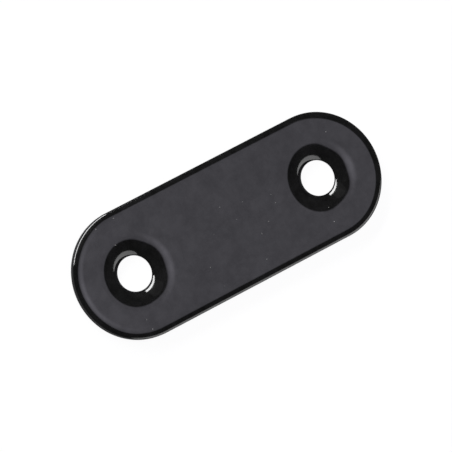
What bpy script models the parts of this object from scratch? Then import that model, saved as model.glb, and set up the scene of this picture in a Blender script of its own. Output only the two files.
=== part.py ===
"""A joining plate: a small flat steel plate with full round ends and two countersunk screw holes.

It is stamped from sheet in one piece. The blanking tool draws the upper edge over into a soft roll that
ends in a small corner at the sheared side, and a punch presses a countersink round each hole, whose rim
rolls over softly too.

Units are metres, with +Z up. The plate lies on its underside. The origin is the middle of the underside,
and the length runs along X.
"""

import math

import bmesh
import bpy

MM = 0.001

# Driving dimensions of the plate
HOLE_SPACING = 25.0 * MM
WIDTH = 15.0 * MM
THICKNESS = 1.25 * MM

# The upper edge rolls over along an ellipse, from level to a slope, and a small corner leads to the side
EDGE_ROLL_REACH = 1.3 * MM
EDGE_ROLL_DROP = 0.8 * MM
EDGE_ROLL_SLOPE = math.radians(46.0)
EDGE_CORNER_RADIUS = 0.05 * MM
FOOT_ROUND = 0.1 * MM

# Each hole has a short straight bore with a rounded edge, a shoulder, a cone, and a rolled rim
HOLE_DIAMETER = 4.1 * MM
BORE_HEIGHT = 0.05 * MM
BORE_EDGE_RADIUS = 0.26 * MM
BORE_EXIT_ROUND = 0.04 * MM
SHOULDER_RADIUS = 3.8 * MM
SHOULDER_SLOPE = math.radians(42.0)
CONE_SLOPE = math.radians(26.8)
RIM_RADIUS = 2.85 * MM

# Black enamel on steel
ENAMEL_COLOUR = (0.006, 0.006, 0.007, 1.0)
ENAMEL_ROUGHNESS = 0.25

# How finely the round forms are divided
END_STEPS = 48
EDGE_ROLL_STEPS = 6
EDGE_CORNER_STEPS = 2
FOOT_STEPS = 2
HOLE_STEPS = 60
RIM_STEPS = 5
SHOULDER_STEPS = 3
BORE_EDGE_STEPS = 3
BORE_EXIT_STEPS = 1

MERGE_DISTANCE = 0.000001
SHARP_ANGLE = math.radians(35.0)

# The ends are struck from the hole centres, so the spacing and the width give the length
end_radius = WIDTH / 2
hole_x = HOLE_SPACING / 2
hole_radius = HOLE_DIAMETER / 2
bore_height = min(BORE_HEIGHT, THICKNESS / 3)

# A cutter stands this far out of the plate above and below
CUTTER_OVERRUN = 1.0 * MM


def clear_scene():
    """Remove every object that the file opens with."""
    for old in list(bpy.data.objects):
        bpy.data.objects.remove(old, do_unlink=True)


def new_collection(name):
    """Make a collection in the scene."""
    collection = bpy.data.collections.new(name)
    bpy.context.scene.collection.children.link(collection)
    return collection


def new_enamel():
    """Make the black enamel that covers the whole plate."""
    enamel = bpy.data.materials.new("black_enamel")
    enamel.use_nodes = True
    shader = enamel.node_tree.nodes["Principled BSDF"]
    shader.inputs["Base Color"].default_value = ENAMEL_COLOUR
    shader.inputs["Roughness"].default_value = ENAMEL_ROUGHNESS
    shader.inputs["Metallic"].default_value = 0.0
    return enamel


def arc_angles(first, last, steps):
    """Return the angles that divide an arc from first to last into equal steps."""
    return [first + (last - first) * step / steps for step in range(steps + 1)]


def edge_profile():
    """Return the section of the plate's edge, as distance from the end's centre and height.

    It runs from the face over the roll and its corner, down the side and round the foot to the underside.
    The roll is the part of an ellipse between level and the given slope. Where a thin plate leaves no room
    for it, it is drawn less deep.
    """
    last_angle = math.atan(math.tan(EDGE_ROLL_SLOPE) * EDGE_ROLL_REACH / EDGE_ROLL_DROP)
    corner_width = EDGE_CORNER_RADIUS * (1 - math.sin(EDGE_ROLL_SLOPE))
    corner_height = EDGE_CORNER_RADIUS * math.cos(EDGE_ROLL_SLOPE)
    roll_end = end_radius - corner_width
    roll_start = roll_end - EDGE_ROLL_REACH * math.sin(last_angle)
    depth = EDGE_ROLL_DROP * (1 - math.cos(last_angle)) + corner_height
    fit = min(1.0, (THICKNESS - 2 * FOOT_ROUND) / depth)

    profile = []
    for angle in arc_angles(0.0, last_angle, EDGE_ROLL_STEPS):
        distance = roll_start + EDGE_ROLL_REACH * math.sin(angle)
        height = THICKNESS - fit * EDGE_ROLL_DROP * (1 - math.cos(angle))
        profile.append((distance, height))
    side_top = THICKNESS - fit * depth
    for angle in arc_angles(EDGE_ROLL_SLOPE, math.pi / 2, EDGE_CORNER_STEPS)[1:]:
        distance = end_radius - EDGE_CORNER_RADIUS * (1 - math.sin(angle))
        height = side_top + fit * EDGE_CORNER_RADIUS * math.cos(angle)
        profile.append((distance, height))
    for angle in arc_angles(0.0, math.pi / 2, FOOT_STEPS):
        distance = end_radius - FOOT_ROUND * (1 - math.cos(angle))
        height = FOOT_ROUND * (1 - math.sin(angle))
        profile.append((distance, height))
    return profile


def hole_profile():
    """Return the section of the countersunk hole, as distance from its axis and height, from the top down.

    An angle here is the slope of the wall: 0 lies in the face and a right angle is the upright bore. The
    three arcs stand one above the other, with the straight cone between the upper two. Where a thin plate
    leaves no room for them, they shrink together.
    """
    room = THICKNESS - bore_height
    needed = BORE_EDGE_RADIUS * math.cos(SHOULDER_SLOPE)
    needed += SHOULDER_RADIUS * (math.cos(CONE_SLOPE) - math.cos(SHOULDER_SLOPE))
    needed += RIM_RADIUS * (1 - math.cos(CONE_SLOPE))
    fit = min(1.0, 0.95 * room / needed)
    edge_radius = fit * BORE_EDGE_RADIUS
    shoulder_radius = fit * SHOULDER_RADIUS
    rim_radius = fit * RIM_RADIUS

    edge_x = hole_radius + edge_radius
    shoulder_x = edge_x + (shoulder_radius - edge_radius) * math.sin(SHOULDER_SLOPE)
    shoulder_z = bore_height - (shoulder_radius - edge_radius) * math.cos(SHOULDER_SLOPE)
    cone_foot_x = shoulder_x - shoulder_radius * math.sin(CONE_SLOPE)
    cone_foot_z = shoulder_z + shoulder_radius * math.cos(CONE_SLOPE)
    cone_rise = THICKNESS - rim_radius * (1 - math.cos(CONE_SLOPE)) - cone_foot_z
    rim_x = cone_foot_x + cone_rise / math.tan(CONE_SLOPE) + rim_radius * math.sin(CONE_SLOPE)
    rim_z = THICKNESS - rim_radius

    profile = []
    for angle in arc_angles(0.0, CONE_SLOPE, RIM_STEPS):
        profile.append((rim_x - rim_radius * math.sin(angle), rim_z + rim_radius * math.cos(angle)))
    for angle in arc_angles(CONE_SLOPE, SHOULDER_SLOPE, SHOULDER_STEPS):
        distance = shoulder_x - shoulder_radius * math.sin(angle)
        height = shoulder_z + shoulder_radius * math.cos(angle)
        profile.append((distance, height))
    for angle in arc_angles(SHOULDER_SLOPE, math.pi / 2, BORE_EDGE_STEPS)[1:]:
        profile.append((edge_x - edge_radius * math.sin(angle), bore_height + edge_radius * math.cos(angle)))
    for angle in arc_angles(0.0, math.pi / 2, BORE_EXIT_STEPS):
        distance = hole_radius + BORE_EXIT_ROUND * (1 - math.cos(angle))
        height = BORE_EXIT_ROUND * (1 - math.sin(angle))
        profile.append((distance, height))
    return profile


def cutter_profile():
    """Return the hole's section, run on along its first and last slopes past the face and the underside."""
    section = hole_profile()
    (mouth_x, mouth_z), (inner_x, inner_z) = section[0], section[1]
    (exit_x, exit_z), (above_x, above_z) = section[-1], section[-2]
    face_run = CUTTER_OVERRUN
    face_rise = face_run * (mouth_z - inner_z) / (mouth_x - inner_x)
    exit_run = exit_x - above_x
    exit_drop = above_z - exit_z
    top = THICKNESS + CUTTER_OVERRUN
    bottom = exit_z - exit_drop
    outside_x = mouth_x + face_run
    profile = [(0.0, top), (outside_x, top), (outside_x, mouth_z + face_rise)]
    profile += section
    profile += [(exit_x + exit_run, bottom), (0.0, bottom)]
    return profile


def turned_object(name, profile, angle, steps):
    """Make an object that turns a profile about its Z axis with a Screw modifier."""
    mesh = bpy.data.meshes.new(name)
    turned = bpy.data.objects.new(name, mesh)
    section = bmesh.new()
    points = [section.verts.new((x, 0.0, z)) for x, z in profile]
    for upper, lower in zip(points, points[1:]):
        section.edges.new((upper, lower))
    section.to_mesh(mesh)
    section.free()

    screw = turned.modifiers.new("turn", "SCREW")
    screw.axis = "Z"
    screw.angle = angle
    screw.steps = steps
    screw.render_steps = steps
    screw.use_smooth_shade = True
    screw.use_merge_vertices = True
    screw.merge_threshold = MERGE_DISTANCE
    return turned


def mesh_as_evaluated(source, name):
    """Return the mesh of an object with its modifiers and its place applied, and remove the object."""
    bpy.context.view_layer.update()
    evaluated = source.evaluated_get(bpy.context.evaluated_depsgraph_get())
    mesh = bpy.data.meshes.new_from_object(evaluated)
    mesh.name = name
    mesh.transform(source.matrix_world)
    bpy.data.objects.remove(source, do_unlink=True)
    return mesh


def new_plate(collection, enamel):
    """Turn the edge section round one end, draw it out to the middle, fill both faces and mirror it."""
    end = turned_object("plate_end", edge_profile(), math.pi, END_STEPS)
    end.location.x = hole_x
    end.rotation_euler.z = -math.pi / 2
    collection.objects.link(end)
    mesh = mesh_as_evaluated(end, "joining_plate")

    half = bmesh.new()
    half.from_mesh(mesh)
    open_sides = [edge for edge in half.edges if edge.is_boundary and edge_lies_across(edge)]
    drawn = bmesh.ops.extrude_edge_only(half, edges=open_sides)
    drawn_points = [item for item in drawn["geom"] if isinstance(item, bmesh.types.BMVert)]
    bmesh.ops.translate(half, verts=drawn_points, vec=(-hole_x, 0.0, 0.0))
    for height in (THICKNESS, 0.0):
        level = [vert for vert in half.verts if abs(vert.co.z - height) < MERGE_DISTANCE]
        rim = [edge for edge in half.edges if edge.is_boundary and set(edge.verts) <= set(level)]
        fill_half_face(half, rim)
    bmesh.ops.recalc_face_normals(half, faces=half.faces)
    half.to_mesh(mesh)
    half.free()
    mesh.materials.append(enamel)

    plate = bpy.data.objects.new("joining_plate", mesh)
    collection.objects.link(plate)
    mirror = plate.modifiers.new("other_half", "MIRROR")
    mirror.use_axis = (True, False, False)
    mirror.use_clip = True
    mirror.use_mirror_merge = True
    mirror.merge_threshold = MERGE_DISTANCE
    return plate


def edge_lies_across(edge):
    """Tell whether both ends of an edge lie in the plane through the hole's centre, across the plate."""
    return all(abs(vert.co.x - hole_x) < MERGE_DISTANCE for vert in edge.verts)


def fill_half_face(half, rim):
    """Close the open rim of one face with an edge across the middle of the plate and one flat face."""
    middle = [vert for edge in rim for vert in edge.verts if abs(vert.co.x) < MERGE_DISTANCE]
    across = half.edges.new(set(middle))
    bmesh.ops.contextual_create(half, geom=rim + [across])


def cut_hole(plate, cutters, enamel, side):
    """Cut one countersunk hole, on the side of the middle that side gives as 1 or -1."""
    cutter = turned_object("hole_cutter", cutter_profile(), 2 * math.pi, HOLE_STEPS)
    cutter.data.materials.append(enamel)
    cutter.location.x = side * hole_x
    cutter.hide_render = True
    cutter.display_type = "WIRE"
    cutters.objects.link(cutter)
    cut = plate.modifiers.new("screw_hole", "BOOLEAN")
    cut.operation = "DIFFERENCE"
    cut.solver = "EXACT"
    cut.object = cutter


def main():
    """Build the joining plate."""
    clear_scene()
    plates = new_collection("joining_plate")
    cutters = new_collection("cutters")
    enamel = new_enamel()
    plate = new_plate(plates, enamel)
    for side in (1, -1):
        cut_hole(plate, cutters, enamel, side)
    plate.data.shade_smooth()
    plate.data.set_sharp_from_angle(angle=SHARP_ANGLE)


main()
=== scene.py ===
# %% [markdown]
# # A black enamelled joining plate
#
# A joining plate is a strip of steel that is screwed across a joint to hold two boards together. This one is
# 40 mm long. It was stamped from sheet, so it is one piece: a press cut the outline and drew its upper edge
# over into a soft roll, a punch pressed a countersink round each hole, and then the whole plate was dipped
# or sprayed with black enamel and stoved.
#
# The lesson builds it in the order of the workshop: sizes, section, outline, holes, faces, paint, and last
# the studio that shows the paint. Lengths are in metres, as Blender has them, and MM turns millimetres
# into them.

# %% Load the frame
import math

import bmesh
import bpy
from mathutils import Matrix, Quaternion, Vector


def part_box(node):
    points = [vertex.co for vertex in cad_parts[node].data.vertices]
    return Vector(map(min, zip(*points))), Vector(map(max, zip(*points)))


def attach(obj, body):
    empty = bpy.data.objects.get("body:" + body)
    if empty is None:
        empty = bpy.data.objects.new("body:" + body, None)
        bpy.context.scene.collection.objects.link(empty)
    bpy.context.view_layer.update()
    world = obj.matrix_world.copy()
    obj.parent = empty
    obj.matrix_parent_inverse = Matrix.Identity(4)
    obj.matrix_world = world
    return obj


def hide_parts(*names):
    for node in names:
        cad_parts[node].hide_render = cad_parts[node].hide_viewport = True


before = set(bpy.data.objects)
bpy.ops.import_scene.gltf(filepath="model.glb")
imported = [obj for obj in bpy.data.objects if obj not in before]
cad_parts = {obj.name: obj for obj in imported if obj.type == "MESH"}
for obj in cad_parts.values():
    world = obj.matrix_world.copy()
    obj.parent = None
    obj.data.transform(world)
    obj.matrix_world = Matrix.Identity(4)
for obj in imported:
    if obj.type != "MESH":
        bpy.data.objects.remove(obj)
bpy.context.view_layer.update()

MM = 0.001

# %% [markdown]
# ## Sizes
#
# The solid model already holds the plate's length, width and thickness, so they are measured from it and not
# typed again. What remains are the sizes that a press tool maker would put on the drawing: how far the
# upper edge is drawn over, and the section of the countersink. The ends are struck from the hole centres,
# which is why the holes need no place of their own.
#
# These sections are estimates, not measurements. They were tried in several rounds against one photograph,
# and the lamps further down were moved to suit it too, so another section under other lamps could look much
# the same. The cone is flatter than a common screw head, which would stand a little proud in it.

# %% Measure the plate and name the other sizes
lowest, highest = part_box("joining_plate")
length = highest.x - lowest.x
width = highest.y - lowest.y
thickness = highest.z - lowest.z
end_radius = width / 2
hole_x = length / 2 - end_radius

EDGE_ROLL_REACH = 1.3 * MM
EDGE_ROLL_DROP = 0.8 * MM
EDGE_ROLL_SLOPE = math.radians(46.0)
EDGE_CORNER_RADIUS = 0.05 * MM
FOOT_ROUND = 0.1 * MM

HOLE_RADIUS = 2.05 * MM
BORE_HEIGHT = 0.05 * MM
BORE_EDGE_RADIUS = 0.26 * MM
BORE_EXIT_ROUND = 0.04 * MM
SHOULDER_RADIUS = 3.8 * MM
SHOULDER_SLOPE = math.radians(42.0)
CONE_SLOPE = math.radians(26.8)
RIM_RADIUS = 2.85 * MM

print(f"plate {length / MM:.2f} x {width / MM:.2f} x {thickness / MM:.2f} mm,"
      f" holes {2 * hole_x / MM:.2f} mm apart")

# %% [markdown]
# ## The section of the edge
#
# Glossy black paint shows its shape only by what it mirrors, and a mirror shows every facet. So the render's
# plate is modelled again, finer than the solid, with its curves divided until no facet shows.
#
# A section is drawn as a string of points, as on paper. A straight line extrudes the last point, and an arc
# spins it about a centre. Bevelling a corner would be quicker, but a bevel is a circle, and the roll that
# a press draws is taken here as wider than it is deep: the sheet bends down slowly, then faster, until the
# cutting edge shears it off. The slope where that happens was chosen by tone. A circle that is
# squashed to an ellipse gives that shape, and a small round leads from there into the upright side.

# %% Draw straight lines and arcs point by point
ACROSS = (0.0, 1.0, 0.0)
MERGE_DISTANCE = 0.001 * MM


def start_at(section, x, z):
    """Start a section with one point."""
    return section.verts.new((x, 0.0, z))


def line_to(section, start, x, z, steps=1):
    """Extrude the last point along a straight line in equal steps, and return the new last point."""
    step = (Vector((x, 0.0, z)) - start.co) / steps
    for _ in range(steps):
        drawn = bmesh.ops.extrude_vert_indiv(section, verts=[start])
        start = drawn["verts"][0]
        bmesh.ops.translate(section, verts=[start], vec=step)
    return start


def arc_to(section, start, centre_x, centre_z, turn, steps):
    """Spin the last point about a centre, and return the new last point. A positive turn is clockwise."""
    turned = bmesh.ops.spin(section, geom=[start], cent=(centre_x, 0.0, centre_z), axis=ACROSS,
                            angle=turn, steps=steps)
    return [item for item in turned["geom_last"] if isinstance(item, bmesh.types.BMVert)][0]


# %% [markdown]
# A flat face next to a round one needs a narrow flat strip at its border. Smooth shading blends the
# normals of neighbouring faces, and the strip keeps that blend away from the flat, where it would bend the
# reflection.

# %% Draw the edge: strip, roll, corner, side, foot, strip
ROLL_STEPS = 20
CORNER_STEPS = 6
FOOT_STEPS = 5
STRIP = 0.12 * MM

squash = EDGE_ROLL_DROP / EDGE_ROLL_REACH
roll_turn = math.atan(math.tan(EDGE_ROLL_SLOPE) / squash)
side_x = hole_x + end_radius
roll_end_x = side_x - EDGE_CORNER_RADIUS * (1 - math.sin(EDGE_ROLL_SLOPE))
roll_start_x = roll_end_x - EDGE_ROLL_REACH * math.sin(roll_turn)

plate = bmesh.new()
last = start_at(plate, roll_start_x - STRIP, thickness)
last = line_to(plate, last, roll_start_x, thickness)
last = arc_to(plate, last, roll_start_x, thickness - EDGE_ROLL_REACH, roll_turn, ROLL_STEPS)
bmesh.ops.scale(plate, verts=plate.verts, vec=(1.0, 1.0, squash),
                space=Matrix.Translation((0.0, 0.0, -thickness)))
side_top = last.co.z - EDGE_CORNER_RADIUS * math.cos(EDGE_ROLL_SLOPE)
last = arc_to(plate, last, side_x - EDGE_CORNER_RADIUS, side_top, math.pi / 2 - EDGE_ROLL_SLOPE, CORNER_STEPS)
last = line_to(plate, last, side_x, side_top - STRIP)
last = line_to(plate, last, side_x, FOOT_ROUND + STRIP)
last = line_to(plate, last, side_x, FOOT_ROUND)
last = arc_to(plate, last, side_x - FOOT_ROUND, FOOT_ROUND, math.pi / 2, FOOT_STEPS)
last = line_to(plate, last, side_x - FOOT_ROUND - STRIP, 0.0)
print(f"edge section: {len(plate.verts)} points, upright side {side_top / MM:.2f} mm high")

# %% [markdown]
# ## The outline
#
# A stadium outline is two half circles and two straight sides. Sweeping the section along a curve object
# would make it too, but a sweep can pinch where a straight meets an arc. Here the section is turned half
# way round one end, and its two open sides are then drawn out to the middle of the plate. The other half
# comes later, as a mirror image.

# %% Turn the section round one end and draw it out to the middle
END_STEPS = 96
UP = (0.0, 0.0, 1.0)

quarter_turn = Matrix.Rotation(-math.pi / 2, 3, UP)
bmesh.ops.rotate(plate, verts=plate.verts, cent=(hole_x, 0.0, 0.0), matrix=quarter_turn)
bmesh.ops.spin(plate, geom=plate.verts[:] + plate.edges[:], cent=(hole_x, 0.0, 0.0), axis=UP,
               angle=math.pi, steps=END_STEPS)


def lies_across_the_end(edge):
    """Tell whether an edge lies in the plane across the plate through the hole's centre."""
    return all(abs(vert.co.x - hole_x) < MERGE_DISTANCE for vert in edge.verts)


open_sides = [edge for edge in plate.edges if edge.is_boundary and lies_across_the_end(edge)]
drawn = bmesh.ops.extrude_edge_only(plate, edges=open_sides)
drawn_points = [item for item in drawn["geom"] if isinstance(item, bmesh.types.BMVert)]
bmesh.ops.translate(plate, verts=drawn_points, vec=(-hole_x, 0.0, 0.0))
print("half of the edge:", len(plate.faces), "faces")

# %% [markdown]
# ## The countersunk hole
#
# The punch leaves zones one above the other: a rolled rim where the sheet bends down into the countersink, a
# straight cone for the screw's head, a shoulder where the cone steepens slowly, a rounded edge, and a short
# upright bore. A cone cut with a drill would have sharp borders. Here each border is an arc that touches
# both neighbours, and it is these arcs that draw the thin bright crescents in the paint.
#
# A slope of 0 lies in the face, and a right angle is the upright bore. The arcs are placed from the bore
# upwards. The straight cone takes up what height is left, and that decides how wide the hole opens.

# %% Work out where the arcs of the hole stand
edge_centre_x = HOLE_RADIUS + BORE_EDGE_RADIUS
radius_step = SHOULDER_RADIUS - BORE_EDGE_RADIUS
shoulder_centre_x = edge_centre_x + radius_step * math.sin(SHOULDER_SLOPE)
shoulder_centre_z = BORE_HEIGHT - radius_step * math.cos(SHOULDER_SLOPE)
cone_foot_x = shoulder_centre_x - SHOULDER_RADIUS * math.sin(CONE_SLOPE)
cone_foot_z = shoulder_centre_z + SHOULDER_RADIUS * math.cos(CONE_SLOPE)
cone_rise = thickness - RIM_RADIUS * (1 - math.cos(CONE_SLOPE)) - cone_foot_z
rim_centre_x = cone_foot_x + cone_rise / math.tan(CONE_SLOPE) + RIM_RADIUS * math.sin(CONE_SLOPE)
print(f"straight cone {cone_rise / MM:.2f} mm high, rolled rim {2 * rim_centre_x / MM:.2f} mm across")

# %% [markdown]
# The section is drawn like the edge's, from the upper face down to the underside. It is drawn beside the
# origin, where a distance from the hole's axis is simply X, and then moved out to the hole, where a full
# spin closes it into a ring. A full spin has to merge its last step with its first, or a seam stays open.

# %% Draw the hole's section and turn it all the way round
HOLE_STEPS = 160
RIM_STEPS = 14
CONE_STEPS = 3
SHOULDER_STEPS = 10
BORE_EDGE_STEPS = 10
BORE_EXIT_STEPS = 4

before = set(plate.verts)
last = start_at(plate, rim_centre_x + STRIP, thickness)
last = line_to(plate, last, rim_centre_x, thickness)
last = arc_to(plate, last, rim_centre_x, thickness - RIM_RADIUS, -CONE_SLOPE, RIM_STEPS)
last = line_to(plate, last, cone_foot_x, cone_foot_z, CONE_STEPS)
last = arc_to(plate, last, shoulder_centre_x, shoulder_centre_z, CONE_SLOPE - SHOULDER_SLOPE, SHOULDER_STEPS)
last = arc_to(plate, last, edge_centre_x, BORE_HEIGHT, SHOULDER_SLOPE - math.pi / 2, BORE_EDGE_STEPS)
last = line_to(plate, last, HOLE_RADIUS, BORE_EXIT_ROUND)
last = arc_to(plate, last, HOLE_RADIUS + BORE_EXIT_ROUND, BORE_EXIT_ROUND, -math.pi / 2, BORE_EXIT_STEPS)
last = line_to(plate, last, HOLE_RADIUS + BORE_EXIT_ROUND + STRIP, 0.0)
section_points = [vert for vert in plate.verts if vert not in before]
section_edges = [edge for edge in plate.edges if edge.verts[0] not in before]

bmesh.ops.translate(plate, verts=section_points, vec=(hole_x, 0.0, 0.0))
bmesh.ops.spin(plate, geom=section_points + section_edges, cent=(hole_x, 0.0, 0.0), axis=UP,
               angle=2 * math.pi, steps=HOLE_STEPS, use_merge=True)
print("hole section:", len(section_points), "points")

# %% [markdown]
# ## Mirror and fill
#
# The half is mirrored to the other side of the middle, and only two flat faces are still missing: the upper
# one and the underside. Each has a border round the outline and one round each hole. Triangle fill closes a
# flat region and leaves the holes in it open, so no Boolean is needed, and no Boolean leaves slivers behind.

# %% Mirror the half and fill both flat faces
bmesh.ops.mirror(plate, geom=plate.verts[:] + plate.edges[:] + plate.faces[:], axis="X",
                 merge_dist=MERGE_DISTANCE)
bmesh.ops.remove_doubles(plate, verts=plate.verts, dist=MERGE_DISTANCE)
for level in (thickness, 0.0):
    borders = [edge for edge in plate.edges if edge.is_boundary
               and all(abs(vert.co.z - level) < MERGE_DISTANCE for vert in edge.verts)]
    bmesh.ops.triangle_fill(plate, edges=borders, use_beauty=True, use_dissolve=False, normal=UP)
bmesh.ops.recalc_face_normals(plate, faces=plate.faces)
open_edges = sum(not edge.is_manifold for edge in plate.edges)
print(f"plate: {len(plate.faces)} faces, {open_edges} open edges, {plate.calc_volume() / MM ** 3:.1f} mm3")

# %% [markdown]
# A bmesh is only a workbench. Its shape is copied into a mesh, and an object shows the mesh. Smooth shading
# rounds off the light across the arcs, and edges sharper than 30 degrees would stay sharp, though this plate
# has none. Two lines then say that the object moves with the body called root and that it is shown in place
# of the solid. Its finish, the enamel, is added to its mesh further down.

# %% Make the plate an object that stands for the solid
SHARP_ANGLE = math.radians(30.0)

plate_mesh = bpy.data.meshes.new("enamelled_plate")
plate.to_mesh(plate_mesh)
plate.free()
plate_mesh.shade_smooth()
plate_mesh.set_sharp_from_angle(angle=SHARP_ANGLE)
enamelled_plate = bpy.data.objects.new("enamelled_plate", plate_mesh)
bpy.context.scene.collection.objects.link(enamelled_plate)
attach(enamelled_plate, "root")
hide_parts("joining_plate")
print("enamelled plate:", len(plate_mesh.polygons), "faces, smooth")

# %% [markdown]
# ## Two helpers for materials
#
# A paint maker's colour is a hex value as a screen shows it, while Blender's shaders want linear light. The
# first function turns one into the other. The second adds a node, sets its properties, and fills or links
# its inputs, so that each material below reads as a list of what it is made of.

# %% Colour and node helpers
SRGB_KNEE = 0.04045


def linear(hex_colour):
    """Turn an sRGB hex colour such as #1a1b1e into linear red, green, blue and alpha."""
    levels = [int(hex_colour[i:i + 2], 16) / 255 for i in (1, 3, 5)]
    return [level / 12.92 if level <= SRGB_KNEE else ((level + 0.055) / 1.055) ** 2.4
            for level in levels] + [1.0]


def add_node(tree, kind, settings=None, inputs=None):
    """Add a node with its settings. An input is given a value, or the output socket that feeds it."""
    node = tree.nodes.new(kind)
    for name, value in (settings or {}).items():
        setattr(node, name, value)
    for name, value in (inputs or {}).items():
        if isinstance(value, bpy.types.NodeSocket):
            tree.links.new(value, node.inputs[name])
        else:
            node.inputs[name].default_value = value
    return node


def new_material(name):
    """Make an empty node material."""
    material = bpy.data.materials.new(name)
    material.use_nodes = True
    material.node_tree.nodes.clear()
    return material


print("middle grey #808080 is", round(linear("#808080")[0], 3), "in linear light")

# %% [markdown]
# ## Stoved black enamel
#
# Enamel is pigment in a clear resin. The pigment makes the body nearly black, and the resin's skin gives a
# clear reflection on top, with the strength of most plastics and glasses: an IOR of 1.5, not metallic. The
# skin is smooth but not perfect. It settles into faint waves called orange peel, a millimetre or so apart,
# it has a fine grain, and the odd speck of dust was caught in it before it hardened. The flat face also has a
# faint mottle. Its cause isn't known, and it is made here as if the pigment lay a little unevenly.
#
# The body colour comes first. One noise is the mottle, and the middle of its range is stretched to the whole
# way from black to faded. A speck of dust is the core of a Voronoi cell.

# %% Enamel: the pigment and the dust
ENAMEL_BLACK = "#080808"
ENAMEL_FADED = "#171717"
BLOTCH_SPACING = 2.0 * MM
BLOTCH_BLACK_BELOW = 0.38
BLOTCH_FADED_ABOVE = 0.62
DUST_PALE = "#8d8c88"
DUST_SPACING = 1.5 * MM
DUST_RADIUS = 0.07 * MM
DUST_CORE = 0.6

enamel = new_material("stoved_black_enamel")
tree = enamel.node_tree
place = add_node(tree, "ShaderNodeTexCoord").outputs["Object"]
blotches = add_node(tree, "ShaderNodeTexNoise", None,
                    {"Vector": place, "Scale": 1 / BLOTCH_SPACING, "Detail": 6.0, "Roughness": 0.8})
faded = add_node(tree, "ShaderNodeMapRange", None,
                 {"Value": blotches.outputs["Fac"], "From Min": BLOTCH_BLACK_BELOW,
                  "From Max": BLOTCH_FADED_ABOVE})
body = add_node(tree, "ShaderNodeMix", {"data_type": "RGBA"},
                {"Factor": faded.outputs["Result"], "A": linear(ENAMEL_BLACK), "B": linear(ENAMEL_FADED)})
dust_cells = add_node(tree, "ShaderNodeTexVoronoi", {"feature": "F1"},
                      {"Vector": place, "Scale": 1 / DUST_SPACING})
near_speck = add_node(tree, "ShaderNodeMapRange", {"interpolation_type": "SMOOTHSTEP"},
                      {"Value": dust_cells.outputs["Distance"], "From Min": DUST_RADIUS / DUST_SPACING,
                       "From Max": DUST_CORE * DUST_RADIUS / DUST_SPACING})
colour = add_node(tree, "ShaderNodeMix", {"data_type": "RGBA"},
                  {"Factor": near_speck.outputs["Result"], "A": body.outputs["Result"],
                   "B": linear(DUST_PALE)})
print("pigment and dust:", len(tree.nodes), "nodes")

# %% [markdown]
# The waves and the grain are bumps, one laid over the other. They are a few thousandths of a millimetre high
# at most, and they show only where the paint mirrors the border of a lamp, whose line they make a little
# uneven.

# %% Enamel: the orange peel and the grain
ORANGE_PEEL_SPACING = 0.9 * MM
ORANGE_PEEL_HEIGHT = 0.0035 * MM
GRAIN_SPACING = 0.11 * MM
GRAIN_HEIGHT = 0.0006 * MM

waves = add_node(tree, "ShaderNodeTexNoise", None,
                 {"Vector": place, "Scale": 1 / ORANGE_PEEL_SPACING, "Detail": 2.0, "Roughness": 0.45})
grain = add_node(tree, "ShaderNodeTexNoise", None,
                 {"Vector": place, "Scale": 1 / GRAIN_SPACING, "Detail": 3.0, "Roughness": 0.6})
grain_relief = add_node(tree, "ShaderNodeBump", None,
                        {"Height": grain.outputs["Fac"], "Strength": 1.0, "Distance": GRAIN_HEIGHT})
relief = add_node(tree, "ShaderNodeBump", None,
                  {"Height": waves.outputs["Fac"], "Strength": 1.0, "Distance": ORANGE_PEEL_HEIGHT,
                   "Normal": grain_relief.outputs["Normal"]})
print(f"orange peel {ORANGE_PEEL_HEIGHT / MM} mm high, grain {GRAIN_HEIGHT / MM} mm high")

# %% [markdown]
# The skin brings them together. Its roughness is that of a good gloss paint, and it swings with the mottle.
# So does its mirroring, round the half that leaves the IOR's own strength as it is. How far it swings was set
# so that the face varies as much as in the photograph. Some of that is the picture's compression and not
# the paint, so a real plate may be smoother than this.

# %% Enamel: the skin
RESIN_IOR = 1.5
NOISE_LOW = 0.3
NOISE_HIGH = 0.7
ROUGHNESS_LEAST = 0.07
ROUGHNESS_MOST = 0.10
MIRRORING_LEAST = 0.46
MIRRORING_MOST = 0.54

gloss = add_node(tree, "ShaderNodeMapRange", None,
                 {"Value": blotches.outputs["Fac"], "From Min": NOISE_LOW, "From Max": NOISE_HIGH,
                  "To Min": ROUGHNESS_LEAST, "To Max": ROUGHNESS_MOST})
mirroring = add_node(tree, "ShaderNodeMapRange", None,
                     {"Value": faded.outputs["Result"], "To Min": MIRRORING_LEAST, "To Max": MIRRORING_MOST})
skin = add_node(tree, "ShaderNodeBsdfPrincipled", None,
                {"Base Color": colour.outputs["Result"], "Metallic": 0.0, "IOR": RESIN_IOR,
                 "Specular IOR Level": mirroring.outputs["Result"],
                 "Roughness": gloss.outputs["Result"], "Normal": relief.outputs["Normal"]})
add_node(tree, "ShaderNodeOutputMaterial", None, {"Surface": skin.outputs["BSDF"]})
plate_mesh.materials.append(enamel)
print("enamel:", len(tree.nodes), "nodes in all")

# %% [markdown]
# ## The floor
#
# The plate lies on white paper. The paper has to look white, and a black plate must not be lit harder for
# it, so most of the paper's whiteness is its own light. The camera sees all of it and reflections see a
# tenth: the plate's upright side mirrors the paper beside it at a glancing angle, and in the photograph that
# side is dark. The rest is lit by the lamps, and that part keeps the plate's shadow.

# %% White paper floor
FLOOR_SIZE = 8.0
FLOOR_GAP = 0.02 * MM
PAPER_SHADE = "#606060"
PAPER_GLOW = 0.92
GLOSSY_SHARE = 0.1

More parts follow.
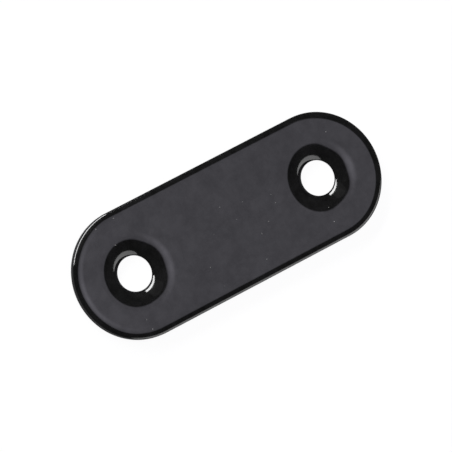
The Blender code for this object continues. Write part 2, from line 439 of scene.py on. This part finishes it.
paper = new_material("white_paper")
tree = paper.node_tree
ray = add_node(tree, "ShaderNodeLightPath")
seen = add_node(tree, "ShaderNodeMath", {"operation": "MULTIPLY_ADD"},
                {0: ray.outputs["Is Glossy Ray"], 1: GLOSSY_SHARE, 2: ray.outputs["Is Camera Ray"]})
seen = add_node(tree, "ShaderNodeMath", {"operation": "ADD", "use_clamp": True},
                {0: seen.outputs[0], 1: ray.outputs["Is Transmission Ray"]})
strength = add_node(tree, "ShaderNodeMath", {"operation": "MULTIPLY"}, {0: seen.outputs[0], 1: PAPER_GLOW})
lit = add_node(tree, "ShaderNodeBsdfDiffuse", None, {"Color": linear(PAPER_SHADE)})
glow = add_node(tree, "ShaderNodeEmission", None, {"Strength": strength.outputs[0]})
surface = add_node(tree, "ShaderNodeAddShader", None, {0: lit.outputs[0], 1: glow.outputs[0]})
add_node(tree, "ShaderNodeOutputMaterial", None, {"Surface": surface.outputs[0]})

paper_mesh = bpy.data.meshes.new("paper_floor")
sheet = bmesh.new()
bmesh.ops.create_grid(sheet, x_segments=1, y_segments=1, size=FLOOR_SIZE / 2)
bmesh.ops.translate(sheet, verts=sheet.verts, vec=(0.0, 0.0, -FLOOR_GAP))
sheet.to_mesh(paper_mesh)
sheet.free()
paper_mesh.materials.append(paper)
paper_floor = bpy.data.objects.new("paper_floor", paper_mesh)
bpy.context.scene.collection.objects.link(paper_floor)
print(f"paper floor: {FLOOR_SIZE} m wide, {FLOOR_GAP / MM} mm under the plate")

# %% [markdown]
# ## The camera
#
# The plate is seen from above with a long lens, so that its sides stay parallel. The camera leans 21 degrees
# from the upright towards one end of the plate, and it is rolled so that the plate runs up to the right.

# %% Camera
CAMERA_AZIMUTH = math.radians(176.0)
CAMERA_ELEVATION = math.radians(68.73)
CAMERA_ROLL = math.radians(66.72)
CAMERA_DISTANCE = 0.553
CAMERA_TARGET = Vector((-0.114, -0.017, 0.0)) * MM
LENS = 390.2
SENSOR_WIDTH = 36.0


def direction(azimuth, elevation):
    """Return the unit vector towards an azimuth, counted from +X towards +Y, and a height above the floor."""
    level = math.cos(elevation)
    return Vector((level * math.cos(azimuth), level * math.sin(azimuth), math.sin(elevation)))


def place_and_aim(thing, azimuth, elevation, distance, target, roll):
    """Stand a camera or lamp off a target and point it there."""
    towards = direction(azimuth, elevation)
    thing.location = target + distance * towards
    thing.rotation_mode = "QUATERNION"
    thing.rotation_quaternion = (-towards).to_track_quat("-Z", "Y") @ Quaternion(UP, roll)


camera = bpy.data.objects.new("camera", bpy.data.cameras.new("camera"))
camera.data.lens = LENS
camera.data.sensor_width = SENSOR_WIDTH
place_and_aim(camera, CAMERA_AZIMUTH, CAMERA_ELEVATION, CAMERA_DISTANCE, CAMERA_TARGET, CAMERA_ROLL)
bpy.context.scene.collection.objects.link(camera)
bpy.context.scene.camera = camera
print("camera at", [round(value, 3) for value in camera.location], "m")

# %% [markdown]
# ## The softbox
#
# Black gloss is lit by what surrounds it. A wide softbox hangs over the plate, and its mirror image turns the
# flat face grey. An area lamp would be a sharp rectangle of one brightness. The cloth of a real softbox has
# rounded corners, glows more where the flash stands behind it, and fades towards its border. So it is a sheet
# with bevelled corners whose glow has a soft spot and a soft border. It is hidden from the camera, which
# looks past it from above.
#
# For the border, the place is turned upright and made positive along both sides. What it lies past the
# sheet's core has a length, and the glow fades as that length nears the radius of the corners.

# %% Softbox: the cloth, brighter where the flash stands
SOFTBOX_PLACE = Vector((0.083, -0.009, 0.5))
SOFTBOX_SIZE = (0.65, 0.6)
SOFTBOX_CORNER = 0.19
SOFTBOX_FADE = 0.1
SOFTBOX_TURN = math.radians(26.2)
SOFTBOX_TINT = "#f4f1ff"
SOFTBOX_RADIANCE = 1.24
FLASH_PLACE = Vector((-0.02, 0.0, 0.5))
FLASH_REACH = 0.23
FLASH_RADIANCE = 1.25

softbox_cloth = new_material("softbox_cloth")
tree = softbox_cloth.node_tree
place = add_node(tree, "ShaderNodeTexCoord").outputs["Object"]
offset = add_node(tree, "ShaderNodeVectorMath", {"operation": "DISTANCE"}, {0: place, 1: FLASH_PLACE})
glow = add_node(tree, "ShaderNodeMapRange", {"interpolation_type": "SMOOTHSTEP"},
                {"Value": offset.outputs["Value"], "From Min": 0.0, "From Max": FLASH_REACH,
                 "To Min": SOFTBOX_RADIANCE + FLASH_RADIANCE, "To Max": SOFTBOX_RADIANCE})
upright = add_node(tree, "ShaderNodeMapping", {"vector_type": "TEXTURE"},
                   {"Vector": place, "Location": SOFTBOX_PLACE, "Rotation": (0.0, 0.0, SOFTBOX_TURN)})
outwards = add_node(tree, "ShaderNodeVectorMath", {"operation": "ABSOLUTE"}, {0: upright.outputs["Vector"]})
past_core = add_node(tree, "ShaderNodeVectorMath", {"operation": "SUBTRACT"},
                     {0: outwards.outputs["Vector"],
                      1: [size / 2 - SOFTBOX_CORNER for size in SOFTBOX_SIZE] + [0.0]})
past_core = add_node(tree, "ShaderNodeVectorMath", {"operation": "MAXIMUM"}, {0: past_core.outputs["Vector"]})
reach = add_node(tree, "ShaderNodeVectorMath", {"operation": "LENGTH"}, {0: past_core.outputs["Vector"]})
fade = add_node(tree, "ShaderNodeMapRange", {"interpolation_type": "SMOOTHSTEP"},
                {"Value": reach.outputs["Value"], "From Min": SOFTBOX_CORNER - SOFTBOX_FADE,
                 "From Max": SOFTBOX_CORNER, "To Min": 1.0, "To Max": 0.0})
strength = add_node(tree, "ShaderNodeMath", {"operation": "MULTIPLY"},
                    {0: glow.outputs["Result"], 1: fade.outputs["Result"]})
cloth = add_node(tree, "ShaderNodeEmission", None,
                 {"Color": linear(SOFTBOX_TINT), "Strength": strength.outputs["Value"]})
add_node(tree, "ShaderNodeOutputMaterial", None, {"Surface": cloth.outputs[0]})
print("softbox cloth:", len(tree.nodes), "nodes")

# %% [markdown]
# The sheet itself starts as a square of one metre, is scaled to its size, and gets its corners bevelled
# round, which leaves one flat face.

# %% Softbox: the sheet
CORNER_SEGMENTS = 8

sheet = bmesh.new()
bmesh.ops.create_grid(sheet, x_segments=1, y_segments=1, size=1 / 2)
bmesh.ops.scale(sheet, verts=sheet.verts, vec=(*SOFTBOX_SIZE, 1.0))
bmesh.ops.bevel(sheet, geom=sheet.verts[:], affect="VERTICES", offset=SOFTBOX_CORNER,
                segments=CORNER_SEGMENTS, profile=0.5, material=-1)
bmesh.ops.rotate(sheet, verts=sheet.verts, matrix=Matrix.Rotation(SOFTBOX_TURN, 3, UP))
bmesh.ops.translate(sheet, verts=sheet.verts, vec=SOFTBOX_PLACE)
softbox_mesh = bpy.data.meshes.new("softbox")
sheet.to_mesh(softbox_mesh)
sheet.free()
softbox_mesh.materials.append(softbox_cloth)
softbox = bpy.data.objects.new("softbox", softbox_mesh)
softbox.visible_camera = False
bpy.context.scene.collection.objects.link(softbox)
print("softbox:", len(softbox_mesh.vertices), "points round its border")

# %% [markdown]
# ## The strip and the card
#
# Round the softbox the studio is dim, and that dimness is the black band along the rolled edge. A bright
# strip stands low behind the plate's upper left side, a little tilted and with a faint spill of light above
# it. A large dim oval card stands low at the lower right side. Their mirror images are the white and the
# grey crescents in the holes. All three are area lamps. A lamp's power is worked out from how bright it
# should look, because that brightness, times what the paint mirrors, is the tone in the render. Where the
# lamps stand was found by trial, from their mirror images alone.

# %% Lamps and world
STRIP_RADIANCE = 20.0
SPILL_RADIANCE = 0.12
CARD_RADIANCE = 2.4
STUDIO_WHITE = "#ffffff"
STUDIO_DIM = 0.09


def add_lamp(name, shape, azimuth, elevation, distance, size, radiance, roll=0.0):
    """Add a soft lamp that faces the plate and looks as bright as its radiance. Angles are in degrees."""
    data = bpy.data.lights.new(name, "AREA")
    data.shape = shape
    data.size, data.size_y = size
    area = size[0] * size[1] * (math.pi / 4 if shape == "ELLIPSE" else 1.0)
    data.energy = radiance * math.pi * area
    lamp = bpy.data.objects.new(name, data)
    place_and_aim(lamp, math.radians(azimuth), math.radians(elevation), distance, target=Vector(),
                  roll=math.radians(roll))
    bpy.context.scene.collection.objects.link(lamp)
    print(f"{name}: {data.energy:.2f} W over {area:.3f} m2")


add_lamp("left_strip", "RECTANGLE", azimuth=104.0, elevation=23.3, distance=0.6, size=(0.71, 0.08),
         radiance=STRIP_RADIANCE, roll=7.5)
add_lamp("strip_spill", "ELLIPSE", azimuth=98.0, elevation=37.0, distance=0.6, size=(0.44, 0.34),
         radiance=SPILL_RADIANCE)
add_lamp("right_card", "ELLIPSE", azimuth=298.0, elevation=12.0, distance=0.7, size=(1.34, 0.3),
         radiance=CARD_RADIANCE, roll=-10.0)

world = bpy.data.worlds.new("dim_studio")
world.use_nodes = True
background = world.node_tree.nodes["Background"]
background.inputs["Color"].default_value = linear(STUDIO_WHITE)
background.inputs["Strength"].default_value = STUDIO_DIM
bpy.context.scene.world = world
bpy.context.scene.view_settings.view_transform = "Standard"
